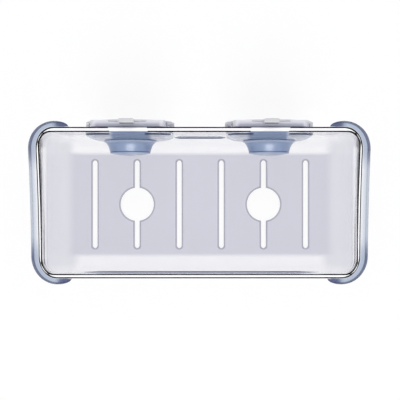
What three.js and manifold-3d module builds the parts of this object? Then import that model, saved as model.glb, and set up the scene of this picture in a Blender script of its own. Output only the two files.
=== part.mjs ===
// Suction shower basket: a clear moulded tub, held to a tiled wall by two twist-lock suction mounts.
// Millimetres, +Z up, +Y towards the wall. The origin is the centre of the underside of the floor.

import * as THREE from 'three';
import { mergeVertices } from 'three/addons/utils/BufferGeometryUtils.js';
import Module from 'manifold-3d';

const wasm = await Module();
wasm.setup();

// Clearance between pieces that touch, turn or slide
const FIT = 0.3;

// Tub
const RIM_LENGTH = 260.5;
const RIM_DEPTH = 121.2;
const BACK_HEIGHT = 90;
const FRONT_HEIGHT = 69.5;
const RIM_SWEEP = 1.9;
const WALL = 3.5;
const FLOOR = 3;
const CORNER_RADIUS = 16;
const FOOT_INSET = 14;
const BACK_CREASE = 19;
const FRONT_CREASE = 48;
const END_CREASE = 68;

// Drain slots and round drain holes in the floor
const SLOT_COUNT = 6;
const SLOT_PITCH = 36.65;
const SLOT_LENGTH = 77.4;
const SLOT_WIDTH = 4.2;
const HOLE_RADIUS = 14.5;
const HOLE_SLOTS = [1, 4];

// Lips that wrap both ends just below the rim
const LIP_WIDTH = 7.2;
const LIP_DROP = 6.5;
const LIP_WALL = 2.4;
const LIP_STEP = 2.4;
const LIP_TIP = 17;
const LIP_FADE = 28;
const LIP_ROOT = 1.5;

// Suction cup and its pull tab
const MOUNT_SPACING = 114;
const CUP_RADIUS = 36.2;
const CUP_EDGE = 1.2;
const CUP_WEB = 1.3;
const CUP_CHAMFER = 2.4;
const CUP_DISH = 1.1;
const SEAL_WIDTH = 6.5;
const HUB_RADIUS = 10.5;
const HUB_HEIGHT = 3.6;
const HUB_SKIN = 0.8;
const HUB_FILLET = 2.8;
const TAB_WIDTH = 12;
const TAB_HEIGHT = 15;
const TAB_THICKNESS = 3.7;
const TAB_STANDOFF = 0.3;

// Pressure plate behind the wall, with corner feet round the cup and a neck through the wall, and the gasket
const PLATE_WIDTH = 60.2;
const PLATE_MARGIN = 2.7;
const PLATE_DEPTH = 2.8;
const PLATE_WEB = 1.2;
const PLATE_STANDOFF = 0.4;
const SKIRT_WALL = 2.5;
const SKIRT_CORNER = 1.8;
const NECK_RADIUS = 15.5;
const NECK_WALL = 2;
const NECK_WEB = 1.6;
const GASKET_THICKNESS = 1;
const GASKET_WIDTH = 13;

// Ring nut and bell cover inside the tub
const NUT_WIDTH = 4.7;
const NUT_THICKNESS = 1.8;
const BELL_HALF = 34.9;
const BELL_RISE = 0.6;
const BELL_SQUARENESS = 6;
const BELL_EDGE = 1.6;
const BELL_WEB = 1.3;
const BELL_FOOT = 2.5;
const BELL_BORE = 8;

// Knob, its front cap and the cam inside it
const KNOB_BASE_RADIUS = 21.7;
const KNOB_BASE_EDGE = 0.8;
const KNOB_RADIUS = 16.6;
const KNOB_LENGTH = 9.2;
const KNOB_WALL = 2;
const KNOB_WEB = 1.4;
const CAP_EDGE = 0.6;
const CAP_RISE = 2.1;
const CAP_WALL = 1.5;
const CAP_PLUG = 1.6;
const CAP_PLUG_WALL = 1.4;
const CAM_BASE = 0.8;
const CAM_WIDTH = 6.7;
const CAM_START = 1;
const CAM_LIFT = 3;
const LEAD_IN = THREE.MathUtils.degToRad(25);
const LOCK_TURN = THREE.MathUtils.degToRad(90);

// Post that draws the cup, its cross pin and the return spring around it
const POST_RADIUS = 5;
const POST_FLAT = 4;
const POST_TIP = 1.9;
const HEAD_RADIUS = 8;
const HEAD_THICKNESS = 1.5;
const PIN_RADIUS = 1.25;
const PIN_LENGTH = 22;
const SPRING_LENGTH = 6;
const SPRING_RADIUS = 8;
const SPRING_WIRE = 0.8;
const SPRING_TURNS = 2.5;

// Facets
const ROUND = 24;
const SMALL_ROUND = 18;
const ARC_STEPS = 5;
const PROFILE_STEPS = 4;
const LIP_STEPS = 28;
const PIN_FACETS = 12;
const SQUARE_STEPS = 40;

// Stations along a mount's axis, from the tiled wall (0) towards the user
const hubFront = CUP_WEB + HUB_HEIGHT;
const plateBack = CUP_WEB + FIT;
const plateFront = plateBack + PLATE_DEPTH;
const gasketBack = plateFront + FIT;
const wallBack = gasketBack + GASKET_THICKNESS + FIT;
const wallFront = wallBack + WALL;
const springBack = hubFront + FIT;
const neckWebBack = springBack + SPRING_LENGTH + FIT;
const neckFront = neckWebBack + NECK_WEB;
const bellWebBack = neckFront + FIT;
const bellWebFront = bellWebBack + BELL_WEB;
const bellFoot = wallFront + FIT;
const knobBack = bellWebFront + FIT;
const knobFront = knobBack + KNOB_LENGTH;
const camBack = knobBack + KNOB_WEB + FIT;
const camFloor = camBack + CAM_BASE;
const pinCentre = camFloor + CAM_START + FIT + PIN_RADIUS;
const capBack = knobFront + FIT;
const headBack = CUP_DISH + HUB_SKIN + FIT;

// Places and radii that follow from the sizes above
const rimX = RIM_LENGTH / 2;
const rimY = RIM_DEPTH / 2;
const tilePlane = rimY + wallBack;
const mountHeight = BACK_CREASE + BELL_RISE + BELL_HALF;
const plateTop = CUP_RADIUS - PLATE_MARGIN;
const wallBore = NECK_RADIUS + FIT;
const nutInner = NECK_RADIUS + FIT;
const nutOuter = nutInner + NUT_WIDTH;
const knobChamber = KNOB_RADIUS - KNOB_WALL;
const postBore = POST_RADIUS + FIT;
const knobBore = POST_RADIUS + 3 * FIT;

// Finishes
const clearPlastic = { color: 0xd3d5e3, roughness: 0.12, metalness: 0 };
const bluePlastic = { color: 0x7e8aa6, roughness: 0.15, metalness: 0 };
const softPlastic = { color: 0xdfe1e9, roughness: 0.35, metalness: 0 };
const whitePlastic = { color: 0xeeeef2, roughness: 0.4, metalness: 0 };
const foam = { color: 0xc9ccd4, roughness: 0.9, metalness: 0 };
const steel = { color: 0xb9bcc2, roughness: 0.25, metalness: 1 };

// Signed volume of an indexed mesh, negative where its faces point inwards
function signedVolume(positions, triangles) {
  const corners = [new THREE.Vector3(), new THREE.Vector3(), new THREE.Vector3()];
  let sum = 0;
  for (let i = 0; i < triangles.length; i += 3) {
    corners.forEach((corner, k) => corner.fromArray(positions, 3 * triangles[i + k]));
    sum += corners[0].dot(corners[1].clone().cross(corners[2])) / 6;
  }
  return sum;
}

// A clean copy of a closed geometry: vertices merged, collapsed triangles dropped, faces outwards
function closed(source) {
  const bare = new THREE.BufferGeometry();
  bare.setAttribute('position', source.getAttribute('position').clone());
  bare.setIndex(source.getIndex());
  const merged = mergeVertices(bare, 1e-4);
  const positions = merged.getAttribute('position').array;
  const index = merged.getIndex().array;
  const triangles = [];
  for (let i = 0; i < index.length; i += 3) {
    const [a, b, c] = [index[i], index[i + 1], index[i + 2]];
    if (a !== b && b !== c && c !== a) triangles.push(a, b, c);
  }
  if (signedVolume(positions, triangles) < 0) triangles.reverse();
  merged.setIndex(triangles);
  return merged;
}

function toSolid(geometry) {
  const clean = closed(geometry);
  const vertProperties = new Float32Array(clean.getAttribute('position').array);
  const triVerts = new Uint32Array(clean.getIndex().array);
  return new wasm.Manifold(new wasm.Mesh({ numProp: 3, vertProperties, triVerts }));
}

function toGeometry(solid) {
  const { vertProperties, triVerts } = solid.getMesh();
  const geometry = new THREE.BufferGeometry();
  geometry.setAttribute('position', new THREE.BufferAttribute(vertProperties, 3));
  geometry.setIndex(new THREE.BufferAttribute(triVerts, 1));
  geometry.computeVertexNormals();
  return geometry;
}

// Skin over a row of rings with equal numbers of points, closed by a fan at each end
function loft(rings) {
  const count = rings[0].length;
  const points = rings.flat();
  const triangles = [];
  for (let ring = 0; ring + 1 < rings.length; ring += 1) {
    for (let k = 0; k < count; k += 1) {
      const a = ring * count + k;
      const b = ring * count + ((k + 1) % count);
      triangles.push(a, b, a + count, b, b + count, a + count);
    }
  }
  const last = (rings.length - 1) * count;
  for (let k = 1; k + 1 < count; k += 1) {
    triangles.push(0, k + 1, k);
    triangles.push(last, last + k, last + k + 1);
  }
  const geometry = new THREE.BufferGeometry().setFromPoints(points);
  geometry.setIndex(triangles);
  return geometry;
}

// Turned piece about a mount's axis, from [radius, station] pairs
function turned(profile, facets = ROUND) {
  const points = profile.map(([radius, station]) => new THREE.Vector2(radius, station));
  return closed(new THREE.LatheGeometry(points, facets));
}

// Turned ring whose profile closes on itself
function turnedRing(profile, facets = ROUND) {
  return turned([...profile, profile[0]], facets);
}

function rectangleRing(inner, outer, back, front, facets = ROUND) {
  return turnedRing([[inner, back], [outer, back], [outer, front], [inner, front]], facets);
}

function rod(radius, back, front, facets = ROUND) {
  return turned([[0, back], [radius, back], [radius, front], [0, front]], facets);
}

function curvePairs(curve, steps) {
  return curve.getPoints(steps).map((point) => [point.x, point.y]);
}

// Block along a mount's axis with an outline in place of a round section
function axisBlock(outline, back, front) {
  const block = new THREE.ExtrudeGeometry(outline, {
    depth: front - back,
    bevelEnabled: false,
    curveSegments: SMALL_ROUND / 3,
  });
  return block.rotateX(-Math.PI / 2).translate(0, back, 0);
}

// Rod along a mount's axis with a round section that has two flats
function flattedRod(radius, flat, back, front) {
  const edge = Math.asin(flat / radius);
  const outline = new THREE.Shape();
  outline.absarc(0, 0, radius, -edge, edge, false);
  outline.absarc(0, 0, radius, Math.PI - edge, Math.PI + edge, false);
  outline.closePath();
  return axisBlock(outline, back, front);
}

// Upright rounded rectangle about a mount's axis
function roundedBlock(halfWidth, halfHeight, corner, back, front) {
  const x = halfWidth - corner;
  const y = halfHeight - corner;
  const outline = new THREE.Shape();
  outline.absarc(x, y, corner, 0, Math.PI / 2, false);
  outline.absarc(-x, y, corner, Math.PI / 2, Math.PI, false);
  outline.absarc(-x, -y, corner, Math.PI, 1.5 * Math.PI, false);
  outline.absarc(x, -y, corner, 1.5 * Math.PI, 2 * Math.PI, false);
  outline.closePath();
  return axisBlock(outline, back, front);
}

// Rim height of the tub at a depth: level on the front and back walls, swept up between them
function rimHeight(y) {
  const inner = rimY - WALL;
  const share = THREE.MathUtils.clamp((y + inner) / (2 * inner), 0, 1);
  return FRONT_HEIGHT + (BACK_HEIGHT - FRONT_HEIGHT) * share ** RIM_SWEEP;
}

// Rounded rectangle at one height, anticlockwise from the front right corner
function outlineAt(z, halfLength, front, back, radius) {
  const corners = [
    [halfLength - radius, front + radius, -Math.PI / 2],
    [halfLength - radius, back - radius, 0],
    [radius - halfLength, back - radius, Math.PI / 2],
    [radius - halfLength, front + radius, Math.PI],
  ];
  return corners.flatMap(([x, y, start]) =>
    Array.from({ length: ARC_STEPS + 1 }, (_, k) => {
      const angle = start + ((Math.PI / 2) * k) / ARC_STEPS;
      return new THREE.Vector3(x + radius * Math.cos(angle), y + radius * Math.sin(angle), z);
    }),
  );
}

// How far a wall lies inside its upright face: a quarter ellipse from its crease down to the base
function wallInset(z, crease, base, reach) {
  const share = THREE.MathUtils.clamp((crease - z) / (crease - base), 0, 1);
  return reach * (1 - Math.sqrt(1 - share * share));
}

// Closed block with the tub's outer or inner shape, grown by a wall and standing on a base height
function tubBlock(wall, base) {
  const reach = FOOT_INSET + wall;
  const lower = Array.from({ length: ARC_STEPS + 2 }, (_, k) => {
    const angle = ((Math.PI / 2) * k) / (ARC_STEPS + 1);
    return base + (BACK_CREASE - base) * (1 - Math.cos(angle));
  });
  const upper = [0.3, 0.6, 1].map((share) => BACK_CREASE + (FRONT_CREASE - BACK_CREASE) * share);
  const levels = [...lower, ...upper, END_CREASE, BACK_HEIGHT + FLOOR];
  return loft(
    levels.map((z) => {
      const halfLength = rimX - WALL + wall - wallInset(z, END_CREASE, base, reach);
      const front = WALL - rimY - wall + wallInset(z, FRONT_CREASE, base, reach);
      const back = rimY - WALL + wall - wallInset(z, BACK_CREASE, base, reach);
      return outlineAt(z, halfLength, front, back, CORNER_RADIUS - WALL + wall);
    }),
  );
}

// Everything above the swept rim
function rimCutter() {
  const steps = 4 * ARC_STEPS;
  const outline = new THREE.Shape();
  const reach = rimY + LIP_WIDTH;
  outline.moveTo(-reach, 2 * BACK_HEIGHT);
  for (let k = 0; k <= steps; k += 1) {
    const y = (2 * k * (rimY - WALL)) / steps - rimY + WALL;
    if (k === 0) outline.lineTo(-reach, rimHeight(y));
    outline.lineTo(y, rimHeight(y));
    if (k === steps) outline.lineTo(reach, rimHeight(y));
  }
  outline.lineTo(reach, 2 * BACK_HEIGHT);
  const block = new THREE.ExtrudeGeometry(outline, { depth: 2 * RIM_LENGTH, bevelEnabled: false });
  const turn = new THREE.Matrix4().makeBasis(
    new THREE.Vector3(0, 1, 0),
    new THREE.Vector3(0, 0, 1),
    new THREE.Vector3(1, 0, 0),
  );
  return block.applyMatrix4(turn).translate(-RIM_LENGTH, 0, 0);
}

// Curved lip along one end: its route runs from the front wall round both corners to the back wall
function endLip(side) {
  const centreX = rimX - CORNER_RADIUS;
  const centreY = rimY - CORNER_RADIUS;
  const route = new THREE.Path();
  route.moveTo(centreX - LIP_TIP, -rimY);
  route.lineTo(centreX, -rimY);
  route.absarc(centreX, -centreY, CORNER_RADIUS, -Math.PI / 2, 0, false);
  route.lineTo(rimX, centreY);
  route.absarc(centreX, centreY, CORNER_RADIUS, 0, Math.PI / 2, false);
  route.lineTo(centreX - LIP_TIP, rimY);
  const fade = LIP_FADE / route.getLength();
  const rings = Array.from({ length: LIP_STEPS + 1 }, (_, step) => {
    const share = step / LIP_STEPS;
    const foot = route.getPointAt(share);
    const tangent = route.getTangentAt(share);
    const top = rimHeight(foot.y) - LIP_STEP;
    const fromTip = Math.min(share, 1 - share);
    const spread = Math.max(THREE.MathUtils.smoothstep(fromTip, 0, fade), 1 / LIP_STEPS);
    const place = (out, z) =>
      new THREE.Vector3(side * (foot.x + out * tangent.y), foot.y - out * tangent.x, z);
    const arc = (width, drop) =>
      Array.from({ length: PROFILE_STEPS + 1 }, (_, k) => {
        const turn = ((Math.PI / 2) * k) / PROFILE_STEPS;
        return place(spread * width * Math.sin(turn), top - LIP_DROP + drop * Math.cos(turn));
      });
    const outer = arc(LIP_WIDTH, LIP_DROP);
    const inner = arc(LIP_WIDTH - LIP_WALL, LIP_DROP - LIP_WALL).reverse();
    return [place(-LIP_ROOT, top), ...outer, ...inner, place(-LIP_ROOT, top - LIP_WALL)];
  });
  return loft(rings);
}

function slotX(index) {
  return (index - (SLOT_COUNT - 1) / 2) * SLOT_PITCH;
}

// Upright cutter through the floor for one drain slot
function slotCutter(index) {
  const half = (SLOT_LENGTH - SLOT_WIDTH) / 2;
  const outline = new THREE.Shape();
  outline.absarc(0, half, SLOT_WIDTH / 2, 0, Math.PI, false);
  outline.absarc(0, -half, SLOT_WIDTH / 2, Math.PI, 2 * Math.PI, false);
  outline.closePath();
  const cutter = new THREE.ExtrudeGeometry(outline, {
    depth: 3 * FLOOR,
    bevelEnabled: false,
    curveSegments: ARC_STEPS,
  });
  return cutter.translate(slotX(index), 0, -FLOOR);
}

function holeCutter(index) {
  const cutter = new THREE.CylinderGeometry(HOLE_RADIUS, HOLE_RADIUS, 3 * FLOOR, ROUND);
  return cutter.rotateX(Math.PI / 2).translate(slotX(index), 0, FLOOR / 2);
}

function wallCutter(x) {
  const cutter = new THREE.CylinderGeometry(wallBore, wallBore, 3 * WALL, ROUND);
  return cutter.translate(x, rimY - WALL / 2, mountHeight);
}

function basket() {
  let solid = toSolid(tubBlock(WALL, 0)).subtract(toSolid(tubBlock(0, FLOOR)));
  solid = solid.subtract(toSolid(rimCutter()));
  for (const side of [-1, 1]) {
    solid = solid.add(toSolid(endLip(side)));
    solid = solid.subtract(toSolid(wallCutter((side * MOUNT_SPACING) / 2)));
  }
  for (let index = 0; index < SLOT_COUNT; index += 1) {
    solid = solid.subtract(toSolid(slotCutter(index)));
  }
  for (const index of HOLE_SLOTS) {
    solid = solid.subtract(toSolid(holeCutter(index)));
  }
  return toGeometry(solid);
}

// Soft dish with a flat sealing ring, a hub that holds the head of the post, and a pull tab on top
function suctionCup() {
  const sealInner = CUP_RADIUS - SEAL_WIDTH;
  const shoulder = CUP_RADIUS - CUP_CHAMFER;
  const pocketRadius = HEAD_RADIUS + FIT;
  const pocketBack = headBack - FIT;
  const pocketFront = headBack + HEAD_THICKNESS + FIT;
  const dish = new THREE.QuadraticBezierCurve(
    new THREE.Vector2(0, CUP_DISH),
    new THREE.Vector2(sealInner / 2, CUP_DISH),
    new THREE.Vector2(sealInner, 0),
  );
  const swell = new THREE.QuadraticBezierCurve(
    new THREE.Vector2(HUB_RADIUS + HUB_FILLET, CUP_WEB),
    new THREE.Vector2(HUB_RADIUS, CUP_WEB),
    new THREE.Vector2(HUB_RADIUS, CUP_WEB + HUB_SKIN),
  );
  const body = turned([
    ...curvePairs(dish, PROFILE_STEPS),
    [CUP_RADIUS, 0],
    [CUP_RADIUS, CUP_EDGE],
    [shoulder, CUP_WEB],
    ...curvePairs(swell, PROFILE_STEPS),
    [HUB_RADIUS, hubFront],
    [postBore, hubFront],
    [postBore, pocketFront],
    [pocketRadius, pocketFront],
    [pocketRadius, pocketBack],
    [0, pocketBack],
  ]);
  const foot = plateTop + 2 * FIT;
  const top = foot + TAB_HEIGHT;
  const half = TAB_WIDTH / 2;
  const round = TAB_WIDTH / 4;
  const outline = new THREE.Shape();
  outline.moveTo(-half, foot);
  outline.lineTo(half, foot);
  outline.absarc(half - round, top - round, round, 0, Math.PI / 2, false);
  outline.absarc(round - half, top - round, round, Math.PI / 2, Math.PI, false);
  outline.closePath();
  const tab = new THREE.ExtrudeGeometry(outline, {
    depth: TAB_THICKNESS,
    bevelEnabled: false,
    curveSegments: ARC_STEPS,
  });
  tab.rotateX(Math.PI / 2).translate(0, TAB_STANDOFF + TAB_THICKNESS, 0);
  return toGeometry(toSolid(body).add(toSolid(tab)));
}

// Rigid tray over the cup, with corner feet beside it, a neck through the wall and a keyed hole for the post
function pressurePlate() {
  const half = PLATE_WIDTH / 2;
  const webBack = plateFront - PLATE_WEB;
  const corner = SKIRT_CORNER + SKIRT_WALL;
  const tray = roundedBlock(half, plateTop, corner, PLATE_STANDOFF, plateFront);
  const hollow = roundedBlock(half - SKIRT_WALL, plateTop - SKIRT_WALL, SKIRT_CORNER, 0, webBack);
  const cupRoom = rod(CUP_RADIUS + 2 * FIT, 0, plateBack);
  const neck = rod(NECK_RADIUS, webBack, neckFront);
  const neckBore = rod(NECK_RADIUS - NECK_WALL, 0, neckWebBack);
  const key = flattedRod(postBore, POST_FLAT + FIT, neckWebBack - NECK_WEB, neckFront + NECK_WEB);
  let solid = toSolid(tray).subtract(toSolid(hollow)).subtract(toSolid(cupRoom));
  solid = solid.add(toSolid(neck)).subtract(toSolid(neckBore)).subtract(toSolid(key));
  return toGeometry(solid);
}

function wallGasket() {
  const inner = NECK_RADIUS + 2 * FIT;
  return rectangleRing(inner, inner + GASKET_WIDTH, gasketBack, gasketBack + GASKET_THICKNESS);
}

function ringNut() {
  return rectangleRing(nutInner, nutOuter, bellFoot, bellFoot + NUT_THICKNESS);
}

// Solid dome from [half width, station] pairs: round at its narrowest, a soft square at its widest
function squareDome(profile) {
  const halves = profile.map(([half]) => half);
  const narrow = Math.min(...halves);
  const wide = Math.max(...halves);
  return loft(
    profile.map(([half, station]) => {
      const power = THREE.MathUtils.mapLinear(half, narrow, wide, 2, BELL_SQUARENESS);
      return Array.from({ length: SQUARE_STEPS }, (_, k) => {
        const across = Math.cos((2 * Math.PI * k) / SQUARE_STEPS);
        const up = Math.sin((2 * Math.PI * k) / SQUARE_STEPS);
        const swell = (Math.abs(across) ** power + Math.abs(up) ** power) ** (-1 / power);
        return new THREE.Vector3(half * swell * across, station, half * swell * up);
      });
    }),
  );
}

// Domed cover over the ring nut, seated on the end of the neck and trapped there by the knob
function bellCover() {
  const innerFoot = BELL_HALF - BELL_FOOT;
  const flatEdge = KNOB_BASE_RADIUS + FIT;
  const outside = new THREE.QuadraticBezierCurve(
    new THREE.Vector2(BELL_HALF, bellFoot + BELL_EDGE),
    new THREE.Vector2((BELL_HALF + flatEdge) / 2, bellWebFront),
    new THREE.Vector2(flatEdge, bellWebFront),
  );
  const inside = new THREE.QuadraticBezierCurve(
    new THREE.Vector2(innerFoot, bellFoot),
    new THREE.Vector2((innerFoot + flatEdge) / 2, bellWebBack),
    new THREE.Vector2(nutOuter, bellWebBack),
  );
  const dome = squareDome([[BELL_HALF, bellFoot], ...curvePairs(outside, PROFILE_STEPS)]);
  const hollow = squareDome([[innerFoot, bellFoot - FIT], ...curvePairs(inside, PROFILE_STEPS)]);
  const bore = rod(BELL_BORE, bellFoot, knobFront);
  return toGeometry(toSolid(dome).subtract(toSolid(hollow)).subtract(toSolid(bore)));
}

// Hollow trumpet-shaped knob with a bored web at its back and an open front
function knob() {
  const flankStart = knobBack + KNOB_BASE_EDGE;
  const flank = new THREE.CubicBezierCurve(
    new THREE.Vector2(KNOB_BASE_RADIUS, flankStart),
    new THREE.Vector2((KNOB_BASE_RADIUS + KNOB_RADIUS) / 2, flankStart + KNOB_BASE_EDGE),
    new THREE.Vector2(KNOB_RADIUS + KNOB_WALL / 2, (knobBack + knobFront) / 2),
    new THREE.Vector2(KNOB_RADIUS, knobFront),
  );
  return turnedRing([
    [KNOB_BASE_RADIUS, knobBack],
    ...curvePairs(flank, PROFILE_STEPS),
    [knobChamber, knobFront],
    [knobChamber, knobBack + KNOB_WEB],
    [knobBore, knobBack + KNOB_WEB],
    [knobBore, knobBack],
  ]);
}

// Domed front cap with a short plug that fits the knob's opening
function knobCap() {
  const plugOuter = knobChamber - FIT;
  const plugInner = plugOuter - CAP_PLUG_WALL;
  const edgeFront = capBack + CAP_EDGE;
  const dome = (radius, thickness) =>
    edgeFront - thickness + CAP_RISE * (1 - (radius / KNOB_RADIUS) ** 2);
  const radii = Array.from({ length: PROFILE_STEPS + 1 }, (_, k) => k / PROFILE_STEPS);
  return turned([
    ...radii.map((share) => [share * plugInner, dome(share * plugInner, CAP_WALL)]),
    [plugInner, capBack - CAP_PLUG],
    [plugOuter, capBack - CAP_PLUG],
    [plugOuter, capBack],
    [KNOB_RADIUS, capBack],
    ...radii.map((share) => [(1 - share) * KNOB_RADIUS, dome((1 - share) * KNOB_RADIUS, 0)]),
  ]);
}

// One helical ramp of the cam: it lifts the pin as the knob turns clockwise, seen from the front
function camRamp(start) {
  const inner = knobBore + FIT;
  const outer = inner + CAM_WIDTH;
  const steps = 3 * ARC_STEPS;
  const rings = Array.from({ length: steps + 1 }, (_, k) => {
    const turn = -LEAD_IN + ((LOCK_TURN + 2 * LEAD_IN) * k) / steps;
    const angle = start - turn;
    const top = camFloor + CAM_START + (CAM_LIFT * turn) / LOCK_TURN;
    const place = (radius, station) =>
      new THREE.Vector3(-radius * Math.sin(angle), station, radius * Math.cos(angle));
    const foot = camFloor - CAM_BASE / 2;
    return [place(inner, foot), place(outer, foot), place(outer, top), place(inner, top)];
  });
  return loft(rings);
}

function camRing() {
  const base = rectangleRing(knobBore + FIT, knobChamber - FIT, camBack, camFloor);
  let solid = toSolid(base);
  for (const start of [Math.PI / 2, -Math.PI / 2]) {
    solid = solid.add(toSolid(camRamp(start)));
  }
  return toGeometry(solid);
}

// Post with a head held in the cup's hub, two flats against turning, and a hole for the cross pin
function cupPost() {
  const headFront = headBack + HEAD_THICKNESS;
  const head = rod(HEAD_RADIUS, headBack, headFront, SMALL_ROUND);
  const shaft = flattedRod(POST_RADIUS, POST_FLAT, headBack + HEAD_THICKNESS / 2, pinCentre + POST_TIP);
  const hole = new THREE.CylinderGeometry(PIN_RADIUS + FIT, PIN_RADIUS + FIT, 4 * POST_RADIUS, PIN_FACETS);
  hole.rotateZ(Math.PI / 2).translate(0, pinCentre, 0);
  return toGeometry(toSolid(head).add(toSolid(shaft)).subtract(toSolid(hole)));
}

function crossPin() {
  const pin = new THREE.CylinderGeometry(PIN_RADIUS, PIN_RADIUS, PIN_LENGTH, PIN_FACETS);
  return pin.rotateZ(Math.PI / 2).translate(0, pinCentre, 0);
}

// Compression spring with half a turn laid flat at each end
class SpringCurve extends THREE.Curve {
  getPoint(t, target = new THREE.Vector3()) {
    const turn = t * SPRING_TURNS;
    const share = THREE.MathUtils.clamp((turn - 0.5) / (SPRING_TURNS - 1), 0, 1);
    const station = springBack + SPRING_WIRE / 2 + (SPRING_LENGTH - SPRING_WIRE) * share;
    const angle = 2 * Math.PI * turn;
    return target.set(SPRING_RADIUS * Math.cos(angle), station, SPRING_RADIUS * Math.sin(angle));
  }
}

function returnSpring() {
  const section = new THREE.Shape();
  section.absarc(0, 0, SPRING_WIRE / 2, 0, 2 * Math.PI, false);
  return closed(
    new THREE.ExtrudeGeometry(section, {
      steps: Math.round(PIN_FACETS * SPRING_TURNS),
      curveSegments: PIN_FACETS / 4,
      extrudePath: new SpringCurve(),
    }),
  );
}

function piece(name, geometry, finish) {
  const mesh = new THREE.Mesh(geometry, new THREE.MeshStandardMaterial(finish));
  mesh.name = name;
  return mesh;
}

// One twist-lock mount, built along its own axis and turned to face the wall
function suctionMount(side, x) {
  const mount = new THREE.Group();
  mount.add(
    piece(`${side}_suction_cup`, suctionCup(), softPlastic),
    piece(`${side}_pressure_plate`, pressurePlate(), clearPlastic),
    piece(`${side}_wall_gasket`, wallGasket(), foam),
    piece(`${side}_ring_nut`, ringNut(), whitePlastic),
    piece(`${side}_bell_cover`, bellCover(), clearPlastic),
    piece(`${side}_knob`, knob(), bluePlastic),
    piece(`${side}_knob_cap`, knobCap(), bluePlastic),
    piece(`${side}_cam_ring`, camRing(), whitePlastic),
    piece(`${side}_cup_post`, cupPost(), whitePlastic),
    piece(`${side}_cross_pin`, crossPin(), steel),
    piece(`${side}_return_spring`, returnSpring(), steel),
  );
  mount.position.set(x, tilePlane, mountHeight);
  mount.rotation.z = Math.PI;
  return mount;
}

const showerBasket = new THREE.Group();
showerBasket.add(
  piece('basket', basket(), clearPlastic),
  suctionMount('left', -MOUNT_SPACING / 2),
  suctionMount('right', MOUNT_SPACING / 2),
);

export default showerBasket;
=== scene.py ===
"""A clear shower basket that hangs on a wall from two twist-lock suction mounts."""

import math

import bmesh
import bpy
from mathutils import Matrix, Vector


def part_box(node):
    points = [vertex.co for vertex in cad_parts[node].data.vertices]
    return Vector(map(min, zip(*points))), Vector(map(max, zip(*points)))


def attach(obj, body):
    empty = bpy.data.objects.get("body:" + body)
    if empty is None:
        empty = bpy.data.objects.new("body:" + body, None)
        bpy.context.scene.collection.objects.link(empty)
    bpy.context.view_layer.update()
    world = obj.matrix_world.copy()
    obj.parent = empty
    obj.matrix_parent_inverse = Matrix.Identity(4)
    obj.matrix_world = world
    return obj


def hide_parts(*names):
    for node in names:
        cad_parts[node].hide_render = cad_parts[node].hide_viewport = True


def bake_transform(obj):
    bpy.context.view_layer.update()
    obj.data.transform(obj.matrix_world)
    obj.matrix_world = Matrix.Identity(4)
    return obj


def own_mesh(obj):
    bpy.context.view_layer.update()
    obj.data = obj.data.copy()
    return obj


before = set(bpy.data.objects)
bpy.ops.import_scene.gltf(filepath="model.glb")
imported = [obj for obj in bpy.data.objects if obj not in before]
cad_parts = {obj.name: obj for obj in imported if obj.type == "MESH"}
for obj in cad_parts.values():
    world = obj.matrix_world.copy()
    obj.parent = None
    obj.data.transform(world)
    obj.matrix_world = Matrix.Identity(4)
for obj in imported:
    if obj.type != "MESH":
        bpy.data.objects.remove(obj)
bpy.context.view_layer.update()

MM = 0.001
FIT = 0.3 * MM
HAIR = 0.001 * MM
SIDES = ("left", "right")
SIDEWAYS = Vector((1, 0, 0))
TO_WALL = Vector((0, 1, 0))

# Tub
WALL = 3.5 * MM
FLOOR = 3.0 * MM
FRONT_HEIGHT = 69.5 * MM
RIM_SWEEP = 1.9
RIM_ROUND = 1.0 * MM
RIM_FULLNESS = 1.6
RIM_TOP_SKIN = 0.01 * MM
FRONT_EDGE = 1.1
BACK_EDGE = 1.15
NECK_WINDOW = 15.5 * MM
RIM_BACK_WALL = 4.1 * MM
RIM_FRONT_WALL = 3.6 * MM
RIM_END_WALL = 2.9 * MM
INNER_CORNER = 10.5 * MM
CORNER_SLACK = 1e-4
FOOT_INSET = 14.0 * MM
FOOT_CORNER = 12.5 * MM
BACK_CREASE = 19.0 * MM
FRONT_CREASE = 48.0 * MM
END_CREASE = 68.0 * MM
SWEEP_FOOT = 48.0 * MM
SWEEP_TOP = 80.0 * MM

# Drain slots and holes
SLOT_COUNT = 6
SLOT_PITCH = 36.65 * MM
SLOT_LENGTH = 76.4 * MM
SLOT_WIDTH = 4.2 * MM
HOLE_COUNT = 2
HOLE_RADIUS = 14.5 * MM
HOLE_PITCH = 3 * SLOT_PITCH
DRAIN_TOP_BEVEL = 1.5 * MM
DRAIN_FOOT_ROUND = 0.6 * MM

# Ribs on the inner faces of the walls
BACK_RIB_LENGTH = 45.0 * MM
BACK_RIB_RISE = 1.0 * MM
BACK_RIB_DEPTH = 2.5 * MM
FRONT_RIB_LENGTH = 204.0 * MM
FRONT_RIB_RISE = 0.9 * MM
FRONT_RIB_DEPTH = 7.0 * MM
RIB_HEIGHT = 0.8 * MM
RIB_ROUND = 0.2 * MM
RIB_TAPER = 0.1
RIB_TIP = 0.1

# End lips
LIP_WIDTH = 7.2 * MM
LIP_DROP = 6.5 * MM
LIP_WALL = 2.4 * MM
LIP_STEP = 2.4 * MM
LIP_TIP = 12.0 * MM
LIP_EDGE = 0.6 * MM

# Reach of the tints on the tub
LIP_TINT = 3.0 * MM
LIP_EDGE_DROP = 5.5 * MM
LIP_EDGE_FADE = 2.2 * MM
LIP_EDGE_SHARE = 0.4
LIP_ROOT = 0.4 * MM
TIP_START = 2.0 * MM
TIP_FADE = 6.0 * MM
DRAIN_SKIN = 0.02 * MM
RIM_LINE_DEPTH = 1.05 * MM
OUTER_END_LOSS = 0.15
INNER_END_LOSS = 0.8

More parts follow.
